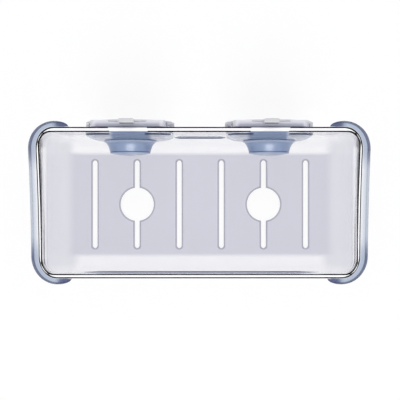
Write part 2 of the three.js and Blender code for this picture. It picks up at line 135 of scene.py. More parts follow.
# Suction cups
CUP_EDGE = 1.2 * MM
CUP_WEB = 1.3 * MM
CUP_SHOULDER = 2.4 * MM
CUP_SEAM = 0.05 * MM
CUP_DISH = 1.1 * MM
SEAL_WIDTH = 6.5 * MM
EAR_LIFT = 2.0 * MM
EAR_RAMP = 2.5 * MM
HUB_RADIUS = 10.5 * MM
HUB_FRONT = 4.9 * MM
HUB_SKIN = 0.8 * MM
HUB_FILLET = 2.8 * MM
POST_BORE = 5.3 * MM
POCKET_RADIUS = 8.3 * MM
POCKET_BACK = 1.9 * MM
POCKET_FRONT = 4.0 * MM
TAB_WIDTH = 12.0 * MM
TAB_BACK = 0.3 * MM
TAB_FRONT = 4.0 * MM
TAB_FOOT = 34.1 * MM
TAB_ROUND = 1.1 * MM

# Plates, covers, knobs and springs
PLATE_DEPTH = 2.8 * MM
PLATE_WEB = 1.2 * MM
PLATE_BEAD = 0.9 * MM
SKIRT_WALL = 2.5 * MM
SKIRT_CORNER = 1.8 * MM
NECK_WEB = 1.6 * MM
NECK_RADIUS = 15.5 * MM
NECK_WALL = 2.0 * MM
BELL_EDGE = 1.6 * MM
BELL_SQUARENESS = 6
BELL_WEB = 1.3 * MM
BELL_FOOT_WALL = 2.5 * MM
BELL_BORE = 8.0 * MM
NUT_OUTER = 20.5 * MM
KNOB_EDGE = 0.8 * MM
KNOB_WALL = 2.0 * MM
KNOB_WEB = 1.4 * MM
KNOB_BORE = 5.9 * MM
CAP_EDGE = 0.6 * MM
CAP_WALL = 1.5 * MM
CAP_PLUG = 1.6 * MM
CAP_PLUG_WALL = 1.4 * MM
EDGE_ROUND = 0.5 * MM
SPRING_RADIUS = 8.0 * MM
SPRING_WIRE = 0.8 * MM
SPRING_TURNS = 2.5

# Smoothness
CORNER_STEPS = 14
SKIN_STEPS = 30
ROUND_STEPS = 5
END_CUTS = 15
TIP_CUTS = 7
LIP_STEPS = 8
TURN_STEPS = 96
CURVE_STEPS = 14
OUTLINE_STEPS = 4
TAB_STEPS = 5
RIB_STEPS = 2
SMOOTH_ANGLE = math.radians(32)
HARD_TURN = math.radians(25)
ROUND_REACH = 0.45
SAME_POINT = 1e-9

# Unevenness of the plastics
STREAK_SCALE = 22.0
STREAK_DETAIL = 3.0
WAVE_SCALE = 55.0
WAVE_DETAIL = 1.0
WAVE_STRENGTH = 0.02
WAVE_HEIGHT = 0.3 * MM
HAZE_SCALE = 90.0
HAZE_DETAIL = 4.0
HAZE_LOW = 0.45
HAZE_HIGH = 0.75

# Studio, in metres
WHITE = (1, 1, 1, 1)
STUDIO_SIZE = 6.0
STUDIO_DROP = 0.4 * MM
STUDIO_PALE = (0.9, 0.9, 0.9, 1)
STUDIO_GLOW = 0.8
SKY = ((0.0, (0.4, 0.42, 0.46, 1)), (0.75, (0.9, 0.9, 0.9, 1)))
LAMPS = (("key", (0.03, -0.75, 1.1), 5.5), ("fill", (0.1, 0.9, 1.1), 3.0))
LAMP_AIM = (0, 0, 0.03)
LAMP_SIZE = 1.0
CAMERA_PLACE = (0.010, -0.008, 0.960)
CAMERA_LENS = 99.0
CAMERA_SENSOR = 36.0
CAMERA_SHIFT = (-0.0295, 0.0337)


def corners(node):
    return tuple(Vector(corner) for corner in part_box(node))


basket_low, basket_high = corners("basket")
cup_low, cup_high = corners("left_suction_cup")
plate_low, plate_high = corners("left_pressure_plate")
bell_low, bell_high = corners("left_bell_cover")
knob_low, knob_high = corners("left_knob")
cap_low, cap_high = corners("left_knob_cap")
spring_low, spring_high = corners("left_return_spring")
right_knob_low, right_knob_high = corners("right_knob")

# Mounts
tile = cup_high.y
mount_x = (knob_low.x + knob_high.x) / 2
mount_z = (knob_low.z + knob_high.z) / 2
mount_pitch = (right_knob_low.x + right_knob_high.x) / 2 - mount_x
mount_places = (mount_x, mount_x + mount_pitch)
cup_radius = (cup_high.x - cup_low.x) / 2
plate_half = (plate_high.x - plate_low.x) / 2
knob_radius = (knob_high.x - knob_low.x) / 2
cap_radius = (cap_high.x - cap_low.x) / 2
bell_foot = tile - bell_high.y

# Rim, foot and lips of the tub
back_height = basket_high.z
rim_x = basket_high.x - LIP_WIDTH
rim_y = tile - bell_foot + FIT + WALL
foot_x = rim_x - FOOT_INSET - WALL
foot_y = rim_y - FOOT_INSET - WALL
corner_x = FOOT_CORNER * rim_x / foot_x
corner_y = FOOT_CORNER * rim_y / foot_y
lip_top = back_height - LIP_STEP
lip_end = rim_x - corner_x - LIP_TIP
lip_side_share = (basket_high.y - rim_y) / LIP_WIDTH


def clamp(value, low=0.0, high=1.0):
    return min(max(value, low), high)


def smooth(value):
    value = clamp(value)
    return value * value * (3 - 2 * value)


def quarter(steps):
    """Angles through a quarter turn, both ends included."""
    return [math.pi / 2 * step / steps for step in range(steps + 1)]


# Modelling helpers
def clear_selection():
    bpy.ops.object.select_all(action="DESELECT")
    bpy.context.view_layer.objects.active = None


def pick(piece):
    clear_selection()
    piece.select_set(True)
    bpy.context.view_layer.objects.active = piece


def fresh(name, primitive, **settings):
    """Adds a primitive to work from, selected alone."""
    clear_selection()
    primitive(**settings)
    piece = bpy.context.object
    piece.name = name
    return piece


def edit(mode):
    """Starts editing in one select mode, with everything selected."""
    kinds = ("VERT", "EDGE", "FACE")
    bpy.ops.object.mode_set(mode="EDIT")
    bpy.context.tool_settings.mesh_select_mode = tuple(mode == kind for kind in kinds)
    bpy.ops.mesh.select_all(action="SELECT")


def done():
    bpy.ops.object.mode_set(mode="OBJECT")


def tidy(piece):
    """Merges what meets, turns the faces outwards and smooths all but the hard edges."""
    pick(piece)
    edit("VERT")
    bpy.ops.mesh.remove_doubles(threshold=HAIR)
    bpy.ops.mesh.normals_make_consistent(inside=False)
    done()
    bpy.ops.object.shade_smooth_by_angle(angle=SMOOTH_ANGLE)
    return piece


def apply_modifier(piece, kind, **settings):
    pick(piece)
    modifier = piece.modifiers.new(kind.lower(), kind)
    for key, value in settings.items():
        setattr(modifier, key, value)
    bpy.ops.object.modifier_apply(modifier=modifier.name)


def cut(piece, cutter, operation="DIFFERENCE"):
    apply_modifier(piece, "BOOLEAN", operation=operation, object=cutter, solver="EXACT")
    pick(cutter)
    bpy.ops.object.delete()


def repeat(piece, count, pitch):
    """Copies a cutter along the basket at even steps."""
    apply_modifier(
        piece,
        "ARRAY",
        count=count,
        use_relative_offset=False,
        use_constant_offset=True,
        constant_offset_displace=(pitch, 0, 0),
    )


def slice_at(places, direction):
    """Cuts the mesh in edit mode across a direction, without taking it apart."""
    for place in places:
        bpy.ops.mesh.select_all(action="SELECT")
        bpy.ops.mesh.bisect(plane_co=place * direction, plane_no=direction)


def flat_sheet(name, width, depth, corner):
    """Flat sheet with rounded corners, in edit mode with its face selected."""
    piece = fresh(name, bpy.ops.mesh.primitive_plane_add, size=1)
    edit("FACE")
    bpy.ops.transform.resize(value=(width, depth, 1))
    bpy.ops.mesh.bevel(offset=corner, affect="VERTICES", segments=CORNER_STEPS)
    bpy.ops.mesh.select_all(action="SELECT")
    return piece


def pull(levels):
    """Extrudes the selected sheet from level to level: height, half length, front and back."""
    for (z0, end0, front0, back0), (z1, end1, front1, back1) in zip(levels, levels[1:]):
        middle0 = (front0 + back0) / 2
        middle1 = (front1 + back1) / 2
        bpy.ops.mesh.extrude_region_move(
            TRANSFORM_OT_translate={"value": (0, middle1 - middle0, z1 - z0)}
        )
        bpy.ops.transform.resize(
            value=(end1 / end0, (back1 - front1) / (back0 - front0), 1),
            center_override=(0, middle1, z1),
        )


def turned(name, outline):
    """Spins an outline of (radius, station) pairs round the left mount's axis.

    A station is counted from the tiled wall.
    """
    piece = fresh(name, bpy.ops.mesh.primitive_plane_add, size=MM)
    edit("VERT")
    bpy.ops.mesh.merge(type="CENTER")
    places = [Vector((mount_x, tile - station, mount_z + radius)) for radius, station in outline]
    bpy.ops.transform.translate(value=places[0])
    for start, end in zip(places, places[1:]):
        bpy.ops.mesh.extrude_vertices_move(TRANSFORM_OT_translate={"value": end - start})
    bpy.ops.mesh.select_all(action="SELECT")
    bpy.ops.mesh.spin(
        steps=TURN_STEPS, angle=math.tau, center=(mount_x, tile, mount_z), axis=(0, 1, 0)
    )
    done()
    return tidy(piece)


def axis_cutter(radius, back, front):
    """Cylinder on the left mount's axis, from station to station."""
    return fresh(
        "bore",
        bpy.ops.mesh.primitive_cylinder_add,
        vertices=TURN_STEPS,
        radius=radius,
        depth=front - back,
        location=(mount_x, tile - (back + front) / 2, mount_z),
        rotation=(math.pi / 2, 0, 0),
    )


def twin(piece, name):
    """A copy of a left piece at the right mount, with its own mesh."""
    pick(piece)
    bpy.ops.object.duplicate()
    copy = bpy.context.object
    copy.name = name
    bpy.ops.transform.translate(value=(mount_pitch, 0, 0))
    bpy.ops.object.transform_apply(location=True)
    return copy


def bezier(points, steps=CURVE_STEPS):
    """Points along a quadratic or cubic curve, both ends included."""
    row = []
    for step in range(steps + 1):
        share = step / steps
        hull = [Vector(point) for point in points]
        while len(hull) > 1:
            hull = [a.lerp(b, share) for a, b in zip(hull, hull[1:])]
        row.append(tuple(hull[0]))
    return row


def softened(outline, radius):
    """Rounds the hard corners of an outline, apart from its two ends."""
    points = [Vector(point) for point in outline]
    row = [points[0]]
    for before, corner, after in zip(points, points[1:], points[2:]):
        back = before - corner
        ahead = after - corner
        if back.length < SAME_POINT or ahead.length < SAME_POINT:
            continue
        if math.pi - back.angle(ahead) < HARD_TURN:
            row.append(corner)
            continue
        reach = min(radius, ROUND_REACH * back.length, ROUND_REACH * ahead.length)
        start = corner + back.normalized() * reach
        end = corner + ahead.normalized() * reach
        row += [Vector(point) for point in bezier((start, corner, end), OUTLINE_STEPS)]
    row.append(points[-1])
    return [tuple(point) for point in row]


# Shader helpers
def add_node(tree, kind, inputs=None, **settings):
    """Adds a shader node with its settings, and sets or links its inputs."""
    node = tree.nodes.new("ShaderNode" + kind)
    for key, value in settings.items():
        setattr(node, key, value)
    for key, value in (inputs or {}).items():
        if isinstance(value, bpy.types.NodeSocket):
            tree.links.new(value, node.inputs[key])
        else:
            node.inputs[key].default_value = value
    return node


def node_group(name, outputs, inputs=()):
    """Node group with named outputs and vector inputs."""
    group = bpy.data.node_groups.new(name, "ShaderNodeTree")
    for label, kind in outputs.items():
        group.interface.new_socket(label, in_out="OUTPUT", socket_type=kind)
    for label in inputs:
        group.interface.new_socket(label, in_out="INPUT", socket_type="NodeSocketVector")
    group.nodes.new("NodeGroupOutput")
    return group


def put_out(group, **sockets):
    for label, socket in sockets.items():
        group.links.new(socket, group.nodes["Group Output"].inputs[label])


def use_group(tree, group, inputs=None):
    return add_node(tree, "Group", inputs, node_tree=group).outputs


def object_place(tree):
    return add_node(tree, "TexCoord").outputs["Object"]


def noise(tree, scale, detail):
    inputs = {"Vector": object_place(tree), "Scale": scale, "Detail": detail}
    return add_node(tree, "TexNoise", inputs).outputs["Fac"]


def map_range(tree, inputs, interpolation="LINEAR"):
    return add_node(tree, "MapRange", inputs, interpolation_type=interpolation).outputs["Result"]


def vector_math(tree, operation, *inputs):
    """Result of a vector operation, which is a number for a length or a distance."""
    node = add_node(tree, "VectorMath", dict(enumerate(inputs)), operation=operation)
    return node.outputs["Value" if operation in ("LENGTH", "DISTANCE") else "Vector"]


def opaque(colour):
    return (*colour, 1)


def mixed(tree, share, start, end):
    """Colour between two colours, by a share."""
    inputs = {"Factor": share, "A": start, "B": end}
    return add_node(tree, "Mix", inputs, data_type="RGBA").outputs["Result"]


def moulding_flow():
    """Slow unevenness of moulded plastic: a streak value and a slightly wavy normal."""
    group = node_group("moulding flow", {"Streak": "NodeSocketFloat", "Normal": "NodeSocketVector"})
    wave = noise(group, WAVE_SCALE, WAVE_DETAIL)
    bump_inputs = {"Strength": WAVE_STRENGTH, "Distance": WAVE_HEIGHT, "Height": wave}
    bump = add_node(group, "Bump", bump_inputs)
    put_out(group, Streak=noise(group, STREAK_SCALE, STREAK_DETAIL), Normal=bump.outputs["Normal"])
    return group


def wiping_marks():
    """Fine haze left by wiping: a value that is mostly low."""
    group = node_group("wiping marks", {"Haze": "NodeSocketFloat"})
    haze = noise(group, HAZE_SCALE, HAZE_DETAIL)
    put_out(group, Haze=map_range(group, {"Value": haze, "From Min": HAZE_LOW, "From Max": HAZE_HIGH}))
    return group


def axis_distance():
    """Distance of a surface point from its mount's axis."""
    group = node_group("axis distance", {"Radius": "NodeSocketFloat"})
    folded = vector_math(group, "ABSOLUTE", object_place(group))
    level = vector_math(group, "MULTIPLY", folded, (1, 0, 1))
    put_out(group, Radius=vector_math(group, "DISTANCE", level, (abs(mount_x), 0, mount_z)))
    return group


def zone_reach():
    """How far a point lies outside a soft box: 0 inside it, 1 at the end of its fade.

    What holds on the left holds on the right too.
    """
    group = node_group("zone reach", {"Reach": "NodeSocketFloat"}, ("Middle", "Half", "Fade"))
    asked = group.nodes.new("NodeGroupInput").outputs
    split = add_node(group, "SeparateXYZ", {"Vector": object_place(group)}).outputs
    folded = add_node(group, "Math", {0: split["X"]}, operation="ABSOLUTE").outputs["Value"]
    place = add_node(group, "CombineXYZ", {"X": folded, "Y": split["Y"], "Z": split["Z"]})
    offset = vector_math(group, "SUBTRACT", place.outputs["Vector"], asked["Middle"])
    distance = vector_math(group, "ABSOLUTE", offset)
    past = vector_math(group, "SUBTRACT", distance, asked["Half"])
    share = vector_math(group, "DIVIDE", past, asked["Fade"])
    outside = vector_math(group, "MAXIMUM", share, (0, 0, 0))
    put_out(group, Reach=vector_math(group, "LENGTH", outside))
    return group


flow_group = moulding_flow()
haze_group = wiping_marks()
axis_group = axis_distance()
zone_group = zone_reach()


def plastic(name, low, high, clean, hazy, **settings):
    """Plastic whose colour drifts between two tints and whose roughness varies with wiping."""
    material = bpy.data.materials.new(name)
    material.use_nodes = True
    tree = material.node_tree
    shader = tree.nodes["Principled BSDF"].inputs
    flow = use_group(tree, flow_group)
    haze = use_group(tree, haze_group)["Haze"]
    colour = mixed(tree, flow["Streak"], opaque(low), opaque(high))
    roughness = map_range(tree, {"Value": haze, "To Min": clean, "To Max": hazy})
    tree.links.new(colour, shader["Base Color"])
    tree.links.new(roughness, shader["Roughness"])
    tree.links.new(flow["Normal"], shader["Normal"])
    for label, value in settings.items():
        shader[label.replace("_", " ")].default_value = value
    return material


def lamp_through(material, colour):
    """Lets the lamps shine through a clear piece onto what lies behind it."""
    tree = material.node_tree
    shader = tree.nodes["Principled BSDF"].outputs["BSDF"]
    through = add_node(tree, "BsdfTransparent", {"Color": opaque(colour)}).outputs["BSDF"]
    shadow = add_node(tree, "LightPath").outputs["Is Shadow Ray"]
    mix = add_node(tree, "MixShader", {"Fac": shadow, 1: shader, 2: through})
    tree.links.new(mix.outputs["Shader"], tree.nodes["Material Output"].inputs["Surface"])


def tint(material, share, colour):
    """Draws the base colour towards a tint where a share is high."""
    tree = material.node_tree
    base = tree.nodes["Principled BSDF"].inputs["Base Color"]
    tree.links.new(mixed(tree, share, base.links[0].from_socket, opaque(colour)), base)


def tint_painted(material, name, colour):
    """Tints a material by a share that is stored at a piece's points."""
    layer = add_node(material.node_tree, "Attribute", attribute_name=name)
    tint(material, layer.outputs["Fac"], colour)


def tint_beyond(material, colour, start, end):
    """Tints a material from one distance from the mount's axis to the next, and beyond."""
    tree = material.node_tree
    radius = use_group(tree, axis_group)["Radius"]
    inputs = {"Value": radius, "From Min": start * MM, "From Max": end * MM}
    tint(material, map_range(tree, inputs, "SMOOTHSTEP"), colour)


def tint_box(material, colour, middle, half, fade):
    """Tints a material inside a soft box, given in millimetres by its middle, half size and fade."""
    tree = material.node_tree
    box = {"Middle": middle, "Half": half, "Fade": fade}
    sizes = {label: [MM * value for value in size] for label, size in box.items()}
    reach = use_group(tree, zone_group, sizes)["Reach"]
    tint(material, map_range(tree, {"Value": reach, "To Min": 1.0, "To Max": 0.0}, "SMOOTHSTEP"), colour)


# Clear tub, tinted at its end walls, their upper part and the floor, and kept lighter at the foot of the
# back wall as a painted highlight for the bright band along its curve
TUB_ZONES = (
    ((0.75, 0.75, 0.80), (130, 0, 40), (18, 50, 50), (10, 12, 10)),
    ((0.95, 0.95, 0.97), (129, 0, 70), (5, 44, 14), (2, 8, 8)),
    ((0.665, 0.665, 0.736), (0, 0, 0), (108, 42.0, 12), (10, 5, 8)),
    # Painted highlight: lighter band at the foot of the back wall.
    ((0.89, 0.89, 0.91), (0, 50, 6), (106, 3, 6), (10, 5, 6)),
)
TUB_TINTS = {
    "lip_share": (0.66, 0.71, 0.80),
    "lip_corner_share": (0.46, 0.52, 0.65),
    "lip_tip_share": (0.10, 0.12, 0.23),
    # Painted shade: dark line along the lips' lower outer edges.
    "lip_edge_share": (0.05, 0.06, 0.11),
    # Painted shade: darker sides of the drain slots and holes.
    "drain_share": (0.34, 0.34, 0.40),
    # Painted shade: dark lines along the rim's rounded edges.
    "rim_line_share": (0.03, 0.03, 0.045),
}
clear_plastic = plastic(
    "clear tub",
    low=(0.88, 0.88, 0.91),
    high=(0.91, 0.91, 0.93),
    clean=0.07,
    hazy=0.12,
    Transmission_Weight=1.0,
    IOR=1.2,
)
for zone in TUB_ZONES:
    tint_box(clear_plastic, *zone)
for share_name, share_colour in TUB_TINTS.items():
    tint_painted(clear_plastic, share_name, share_colour)
lamp_through(clear_plastic, (0.9, 0.9, 0.94))

# Top of the rim, painted bright white for the light that the clear rim's top catches, with grey lines of
# painted shade along its edges in front of each mount
RIM_EDGES = (60.2, 56.8)
# Painted light: opaque white standing in for the bright top of the clear rim.
rim_plastic = plastic(
    "bright rim edge", low=(0.94, 0.94, 0.95), high=(0.98, 0.98, 0.98), clean=0.2, hazy=0.3, IOR=1.49
)
# Painted shade: grey lines along the rim's edges in front of each mount.
for rim_edge_y in RIM_EDGES:
    tint_box(
        rim_plastic, (0.42, 0.43, 0.48), middle=(57, rim_edge_y, 88), half=(20, 0.35, 6), fade=(1, 0.3, 1)
    )

# Cover, with a painted blue band over the knob, standing in for the blue that the clear cover shows there,
# and a dark line of painted shade on each side of it
COVER_WINGS = (32.5, 81.5)
frosted_plastic = plastic(
    "clear bell cover",
    low=(0.75, 0.78, 0.85),
    high=(0.79, 0.82, 0.88),
    clean=0.2,
    hazy=0.28,
    Transmission_Weight=0.5,
    IOR=1.3,
)
# Painted blue band for the blue the clear cover shows over the knob.
tint_box(frosted_plastic, (0.28, 0.36, 0.52), middle=(54.6, 54, 90), half=(13.5, 9, 24), fade=(4, 1, 12))
# Painted shade: dark line along the top edge of each wing.
for wing_x in COVER_WINGS:
    tint_box(
        frosted_plastic, (0.02, 0.03, 0.08), middle=(wing_x, 55.1, 88), half=(9.5, 0.5, 8), fade=(2, 0.3, 3)
    )
lamp_through(frosted_plastic, (0.85, 0.85, 0.88))

# Knob and cap, with a paler band along the edge of the knob's flange: painted light over the shade of the
# gap behind it
blue_plastic = plastic(
    "grey-blue knob",
    low=(0.20, 0.32, 0.57),
    high=(0.25, 0.38, 0.63),
    clean=0.14,
    hazy=0.2,
    Transmission_Weight=0.5,
    IOR=1.2,
    Coat_Weight=1.0,
    Coat_IOR=2.3,
    Coat_Roughness=0.32,
)
# Painted light: paler band over the shaded gap at the flange's edge.
tint_box(
    blue_plastic, (0.42, 0.52, 0.72), middle=(57, knob_high.y / MM, 54), half=(30, 1.4, 30), fade=(1, 1, 1)
)
lamp_through(blue_plastic, (0.5, 0.55, 0.62))

# Plate, paler outside its neck, with painted shade along its top
pale_plate = plastic(
    "pale plate",
    low=(0.62, 0.65, 0.72),
    high=(0.66, 0.69, 0.76),
    clean=0.3,
    hazy=0.4,
    Transmission_Weight=0.4,
    IOR=1.45,
)
tint_beyond(pale_plate, (0.85, 0.85, 0.90), start=15.7, end=16.2)
# Painted shade along the top of the plate.
tint_box(pale_plate, (0.46, 0.47, 0.56), middle=(57, 60, 90), half=(24, 1.5, 6), fade=(4, 4, 3))
lamp_through(pale_plate, (0.7, 0.7, 0.74))

# Cup, with a greyer tab, a dark line under the tab that is painted shade, and painted shade on the side
# towards the other mount
soft_vinyl = plastic(
    "soft cup vinyl",
    low=(0.72, 0.73, 0.77),
    high=(0.79, 0.8, 0.83),
    clean=0.3,
    hazy=0.4,
    Transmission_Weight=0.4,
    IOR=1.45,
)
tint_beyond(soft_vinyl, (0.76, 0.76, 0.77), start=36.5, end=38.0)
# Painted shade: dark line under the tab.
tint_box(soft_vinyl, (0.1, 0.1, 0.12), middle=(57, 62.6, 99), half=(6.2, 0.15, 4), fade=(0.3, 0.2, 1))
# Painted shade on the side of the cup towards the other mount.
tint_box(soft_vinyl, (0.42, 0.42, 0.5), middle=(23.5, 63, 54), half=(5, 1.2, 12), fade=(1, 1, 4))
lamp_through(soft_vinyl, (0.7, 0.7, 0.74))

# Ribs, coloured dark as painted shade for the dark lines along the creases of the clear walls, and inner
# pieces
rib_plastic = plastic(
    "shaded wall rib",
    low=(0.10, 0.12, 0.20),
    high=(0.13, 0.15, 0.24),
    clean=0.4,
    hazy=0.5,
    Transmission_Weight=0.2,
    IOR=1.3,
)
nut_plastic = plastic(
    "blue ring nut",
    low=(0.36, 0.43, 0.58),
    high=(0.42, 0.49, 0.64),
    clean=0.3,
    hazy=0.4,
    Transmission_Weight=0.3,
    IOR=1.3,
)
white_plastic = plastic(
    "white inner plastic", low=(0.8, 0.8, 0.83), high=(0.86, 0.86, 0.88), clean=0.35, hazy=0.5
)
pale_foam = plastic(
    "pale foam", low=(0.55, 0.56, 0.6), high=(0.64, 0.65, 0.69), clean=0.85, hazy=0.95
)
steel = plastic(
    "stainless wire", low=(0.5, 0.51, 0.54), high=(0.58, 0.59, 0.62), clean=0.2, hazy=0.32, Metallic=1.0
)


# Tub
def wall_inset(z, crease, base, reach):
    """How far a wall has curved in at a height below its crease."""
    share = clamp((crease - z) / (crease - base))
    return reach * (1.0 - math.sqrt(1.0 - share * share))


def skin_level(z, wall, base):
    """Outline of the tub's outer or inner skin at a height."""
    reach = FOOT_INSET + wall
    side = rim_y - WALL + wall
    return (
        z,
        rim_x - WALL + wall - wall_inset(z, END_CREASE, base, reach),
        wall_inset(z, FRONT_CREASE, base, reach) - side,
        side - wall_inset(z, BACK_CREASE, base, reach),
    )


def rim_level(inset, z):
    """Outline of the rim's outer edge."""
    return (z, rim_x - inset, FRONT_EDGE * inset - rim_y, rim_y - BACK_EDGE * inset)


def inner_rim_level(inset, z):
    """Outline of the rim's inner edge, where the wall has its own thickness on each side."""
    end = rim_x - RIM_END_WALL + inset
    return (z, end, RIM_FRONT_WALL - inset - rim_y, rim_y - RIM_BACK_WALL + inset)


def rim_edge(reach):
    """Distance of the rim's rounded edge from its corner."""
    return RIM_ROUND * (1 - max(reach, 0.0) ** RIM_FULLNESS)


def skin_heights(base):
    return [base + (END_CREASE - base) * (1 - math.cos(turn)) for turn in quarter(SKIN_STEPS)]


def tub_levels():
    """Levels up the outer skin from the underside to the rim, and down inside to the floor."""
    outer = [skin_level(z, WALL, 0.0) for z in skin_heights(0.0)]
    outer += [rim_level(0.0, z) for z in (SWEEP_TOP, lip_top - LIP_WALL, lip_top)]
    rim = [(rim_edge(math.cos(turn)), rim_edge(math.sin(turn))) for turn in quarter(ROUND_STEPS)]
    outer += [rim_level(inset, back_height - drop) for inset, drop in rim]
    inner = [inner_rim_level(inset, back_height - drop) for inset, drop in reversed(rim)]
    inner.append(inner_rim_level(0.0, back_height - 2 * RIM_ROUND))
    inner += [skin_level(z, 0.0, FLOOR) for z in [SWEEP_TOP] + skin_heights(FLOOR)[::-1]]
    return outer, inner


def rim_height(y):
    """Height of the swept rim from the front to the back."""
    inner = rim_y - WALL
    share = clamp((y + inner) / (2 * inner))
    return FRONT_HEIGHT + (back_height - FRONT_HEIGHT) * share**RIM_SWEEP


def square_corners(tub, level):
    """Tightens the corners of the selected sheet, which become those of the inner skin."""
    mesh = bmesh.from_edit_mesh(tub.data)
    _, end, front, back = level
    middle = (front + back) / 2
    side = (back - front) / 2
    wide = end * FOOT_CORNER / foot_x
    deep = side * FOOT_CORNER / foot_y
    for vertex in mesh.verts:
        past_x = (abs(vertex.co.x) - end + wide) / wide
        past_y = (abs(vertex.co.y - middle) - side + deep) / deep
        if vertex.select and min(past_x, past_y) > -CORNER_SLACK:
            vertex.co.x = math.copysign(end - INNER_CORNER * (1 - past_x), vertex.co.x)
            reach = side - INNER_CORNER * (1 - past_y)
            vertex.co.y = middle + math.copysign(reach, vertex.co.y - middle)
    bmesh.update_edit_mesh(tub.data)


def tub_shell():
    """Tub without its lips, level all round, with the rim material, painted bright white, on top of the
    rim.
    """
    outer, inner = tub_levels()
    tub = flat_sheet("tub", 2 * foot_x, 2 * foot_y, FOOT_CORNER)
    shrink = foot_x / rim_x
    straight = foot_x - FOOT_CORNER
    lip_cuts = [straight - shrink * LIP_TIP * math.sin(turn) for turn in quarter(TIP_CUTS)[1:]]
    neck_cuts = [shrink * (edge - mount_x) for edge in (-NECK_WINDOW, NECK_WINDOW)]
    slice_at([side * place for place in lip_cuts + neck_cuts for side in (-1, 1)], SIDEWAYS)
    run = foot_y - FOOT_CORNER
    slice_at([run * (2 * step / (END_CUTS + 1) - 1) for step in range(1, END_CUTS + 1)], TO_WALL)
    bpy.ops.mesh.select_all(action="SELECT")
    pull([*outer, inner[0]])
    square_corners(tub, inner[0])
    pull(inner)
    done()
    tub.data.materials.append(clear_plastic)
    tub.data.materials.append(rim_plastic)
    # The top of the rim, and its rounded edges by each neck, take the painted-white rim material.
    for polygon in tub.data.polygons:
        centre = polygon.center
        on_top = centre.z > back_height - RIM_TOP_SKIN
        on_edge = centre.z > back_height - RIM_ROUND
        by_neck = abs(abs(centre.x) + mount_x) < NECK_WINDOW and centre.y > rim_y - 2 * WALL
        polygon.material_index = int(on_top or (by_neck and on_edge))
    return tub


def corner_shares(place):
    """How far a place lies past the start of the tub's corner, as shares of its two radii."""
    past_x = max(abs(place.x) - rim_x + corner_x, 0.0)
    past_y = max(abs(place.y) - rim_y + corner_y, 0.0)
    return past_x / corner_x, past_y / corner_y


def lip_direction(place):
    """Outward direction and fade of the end lip at a place on the outer wall."""
    share_x, share_y = corner_shares(place)
    out = Vector((share_x / corner_x, share_y / corner_y, 0.0)).normalized()
    out.x = math.copysign(out.x, place.x)
    out.y = math.copysign(out.y, place.y)
    turn = math.atan2(share_x, share_y) / (math.pi / 2)
    width = lip_side_share + (1 - lip_side_share) * smooth(turn)
    tip = clamp((abs(place.x) - lip_end) / LIP_TIP)
    return out, width * math.sqrt(1 - (1 - tip) ** 2)


def lip_place(root, turn, at_edge):
    """Where a point of the outer wall lies on the lip, after a part of the lip's turn."""
    out, fade = lip_direction(root)
    thick = LIP_WALL if root.z < lip_top - LIP_WALL / 2 else 0.0
    width = (LIP_WIDTH - thick) * math.sin(turn)
    drop = (LIP_DROP - LIP_EDGE - thick) * (1 - math.cos(turn))
    if at_edge:
        width += LIP_EDGE if thick else -LIP_EDGE
        drop += LIP_EDGE
    place = root + out * width * fade - Vector((0, 0, drop * fade))
    place.x = clamp(place.x, basket_low.x, basket_high.x)
    place.y = clamp(place.y, basket_low.y, basket_high.y)
    return place


def select_lip_roots(tub):
    """Selects the faces of the outer wall that the end lips grow from."""
    bpy.context.tool_settings.mesh_select_mode = (False, False, True)
    for item in (*tub.data.edges, *tub.data.vertices):
        item.select = False
    for polygon in tub.data.polygons:
        centre = polygon.center
        at_end = abs(centre.x) > rim_x - WALL / 2
        at_corner = abs(centre.x) > lip_end and abs(centre.y) > rim_y - 2 * FOOT_CORNER
        in_band = lip_top - LIP_WALL < centre.z < lip_top
        facing_out = centre.x * polygon.normal.x + centre.y * polygon.normal.y > 0
        polygon.select = in_band and facing_out and (at_end or at_corner)
        if polygon.select:
            for index in polygon.vertices:
                tub.data.vertices[index].select = True


def add_lips(tub):
    """Pulls a curved lip out of the outer wall round both ends."""
    pick(tub)
    select_lip_roots(tub)
    bpy.ops.object.mode_set(mode="EDIT")
    steps = [(turn, False) for turn in quarter(LIP_STEPS)[1:]]
    steps.append((math.pi / 2, True))
    roots = {}
    for turn, at_edge in steps:
        bpy.ops.mesh.extrude_region_move()
        mesh = bmesh.from_edit_mesh(tub.data)
        moved = {}
        for vertex in mesh.verts:
            if vertex.select:
                root = roots.get(tuple(vertex.co), vertex.co.copy())
                vertex.co = lip_place(root, turn, at_edge)
                moved[tuple(vertex.co)] = root
        roots = moved
        bmesh.update_edit_mesh(tub.data)
    done()


def sweep_rim(tub):
    """Lowers the rim from the back to the front, with the walls below it."""
    for vertex in tub.data.vertices:
        fall = back_height - rim_height(vertex.co.y)
        vertex.co.z -= fall * clamp((vertex.co.z - SWEEP_FOOT) / (SWEEP_TOP - SWEEP_FOOT))


def drain_rows():
    """Height and widening of a drain cutter, from below the floor to above it."""
    foot = DRAIN_FOOT_ROUND
    top = DRAIN_TOP_BEVEL
    turns = quarter(ROUND_STEPS)
    rows = [(-FLOOR, foot)]
    rows += [(foot * (1 - math.cos(turn)), foot * (1 - math.sin(turn))) for turn in turns]
    rows += [(FLOOR - top * math.cos(turn), top * (1 - math.cos(turn))) for turn in turns]
    rows.append((2 * FLOOR, top))
    return rows


def drain_cutter(name, x, half_width, half_length, count, pitch):
    """Row of cutters for slots, or for holes where the two halves are equal."""
    rows = drain_rows()
    start, more = rows[0]
    corner = half_width + more - HAIR
    cutter = flat_sheet(name, 2 * (half_width + more), 2 * (half_length + more), corner)
    bpy.ops.transform.translate(value=(0, 0, start))
    pull([(z, half_width + more, -half_length - more, half_length + more) for z, more in rows])
    done()
    tidy(cutter)
    bpy.ops.transform.translate(value=(x, 0, 0))
    bpy.ops.object.transform_apply(location=True)
    repeat(cutter, count, pitch)
    return cutter


def lip_reach(place):
    """How far a place lies outside the tub's outer wall."""
    return (math.hypot(*corner_shares(place)) - 1.0) * corner_x


